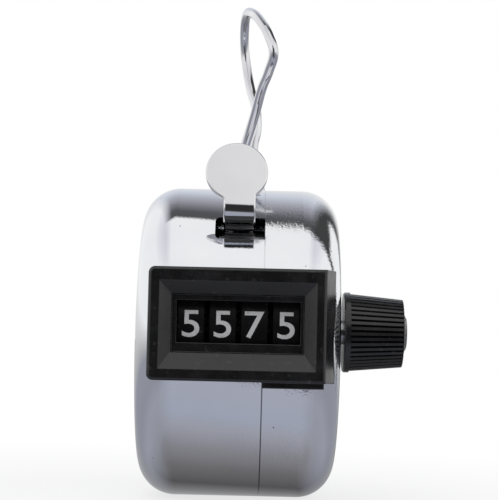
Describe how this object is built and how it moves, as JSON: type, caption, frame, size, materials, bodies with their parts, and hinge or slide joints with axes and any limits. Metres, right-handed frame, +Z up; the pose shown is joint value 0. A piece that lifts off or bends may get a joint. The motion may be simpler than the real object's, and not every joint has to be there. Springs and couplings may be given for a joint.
{
  "type": "hand tally counter",
  "caption": "Hand tally counter: round chromed case with a digit window, thumb lever, ribbed reset knob and a swinging wire finger ring.",
  "frame": {"origin": "on the case axis, at the middle of the flat left side face", "axes": "+X along the case axis towards the reset knob, -Y out of the window, +Z up towards the finger ring"},
  "size_m": [0.0386, 0.048, 0.0766],
  "materials": {
    "chrome_case": "polished chrome plate on drawn steel",
    "black_plastic": "satin moulded black plastic",
    "frame_steel": "plain pressed steel",
    "pin_steel": "ground steel",
    "spring_steel": "drawn spring wire",
    "brass": "turned brass",
    "wheel_plastic": "matt black moulded plastic with printed numbers",
    "pinion_plastic": "natural moulded plastic",
    "lever_plate": "bright nickel plate on pressed steel",
    "ring_wire": "bright plated steel wire",
    "screw_steel": "plated steel"
  },
  "bodies": {
    "case": {"left_shell": "chrome_case", "right_shell": "chrome_case", "window_bezel": "black_plastic", "left_plate": "frame_steel", "right_plate": "frame_steel", "frame_pillars": "frame_steel", "case_screws": "screw_steel", "shaft_bushes": "brass", "pinion_shaft": "pin_steel", "lever_pin": "pin_steel", "lever_spring": "spring_steel", "check_pawl_pin": "pin_steel", "check_pawl_spring": "spring_steel", "ring_bracket": "frame_steel", "bracket_rivets": "screw_steel"},
    "reset_shaft": {"wheel_shaft": "pin_steel", "reset_knob": "black_plastic", "knob_screw": "screw_steel", "shaft_clip": "pin_steel", "shaft_spacers": "brass"},
    "units": {"units_wheel": "wheel_plastic", "ratchet_wheel": "brass"},
    "tens": {"tens_wheel": "wheel_plastic"},
    "hundreds": {"hundreds_wheel": "wheel_plastic"},
    "thousands": {"thousands_wheel": "wheel_plastic"},
    "tens_carry": {"tens_pinion": "pinion_plastic"},
    "hundreds_carry": {"hundreds_pinion": "pinion_plastic"},
    "thousands_carry": {"thousands_pinion": "pinion_plastic"},
    "lever": {"thumb_lever": "lever_plate", "lever_hub": "frame_steel", "drive_pawl_pin": "pin_steel"},
    "drive_pawl": {"drive_pawl": "frame_steel"},
    "check_pawl": {"check_pawl": "frame_steel"},
    "ring": {"finger_ring": "ring_wire"}
  },
  "joints": [
    {"name": "knob_turn", "type": "hinge", "parent": "case", "child": "reset_shaft", "pos_m": [0.01455, -0.0122, 0.00175], "axis": [1, 0, 0], "continuous": true},
    {"name": "units_turn", "type": "hinge", "parent": "case", "child": "units", "pos_m": [0.01455, -0.0122, 0.00175], "axis": [1, 0, 0], "continuous": true},
    {"name": "tens_turn", "type": "hinge", "parent": "case", "child": "tens", "pos_m": [0.01455, -0.0122, 0.00175], "axis": [1, 0, 0], "continuous": true},
    {"name": "hundreds_turn", "type": "hinge", "parent": "case", "child": "hundreds", "pos_m": [0.01455, -0.0122, 0.00175], "axis": [1, 0, 0], "continuous": true},
    {"name": "thousands_turn", "type": "hinge", "parent": "case", "child": "thousands", "pos_m": [0.01455, -0.0122, 0.00175], "axis": [1, 0, 0], "continuous": true},
    {"name": "tens_pinion_turn", "type": "hinge", "parent": "case", "child": "tens_carry", "pos_m": [0.0143, -0.00302, -0.00467], "axis": [1, 0, 0], "continuous": true},
    {"name": "hundreds_pinion_turn", "type": "hinge", "parent": "case", "child": "hundreds_carry", "pos_m": [0.0143, -0.00302, -0.00467], "axis": [1, 0, 0], "continuous": true},
    {"name": "thousands_pinion_turn", "type": "hinge", "parent": "case", "child": "thousands_carry", "pos_m": [0.0143, -0.00302, -0.00467], "axis": [1, 0, 0], "continuous": true},
    {"name": "lever_press", "type": "hinge", "parent": "case", "child": "lever", "pos_m": [0.0143, -0.0105, 0.0142], "axis": [1, 0, 0], "range_deg": [0, 14], "stiffness_Nm_per_rad": 0.02, "springref_deg": -28.65, "deforming": ["lever_spring"]},
    {"name": "drive_pawl_swing", "type": "hinge", "parent": "lever", "child": "drive_pawl", "pos_m": [0.0237, -0.0061, 0.0059], "axis": [1, 0, 0], "range_deg": [-12, 0], "stiffness_Nm_per_rad": 0.0005, "springref_deg": 17.19},
    {"name": "check_pawl_swing", "type": "hinge", "parent": "case", "child": "check_pawl", "pos_m": [0.0237, -0.007, -0.0046], "axis": [1, 0, 0], "range_deg": [0, 12], "stiffness_Nm_per_rad": 0.0005, "springref_deg": -17.19, "deforming": ["check_pawl_spring"]},
    {"name": "ring_swing", "type": "hinge", "parent": "case", "child": "ring", "pos_m": [0.0149, 0.01148, 0.02159], "axis": [1, 0, 0], "range_deg": [-95, 10]}
  ],
  "couplings": [
    {"joint": "tens_pinion_turn", "follows": "tens_turn", "ratio": -2.5},
    {"joint": "hundreds_pinion_turn", "follows": "hundreds_turn", "ratio": -2.5},
    {"joint": "thousands_pinion_turn", "follows": "thousands_turn", "ratio": -2.5}
  ]
}
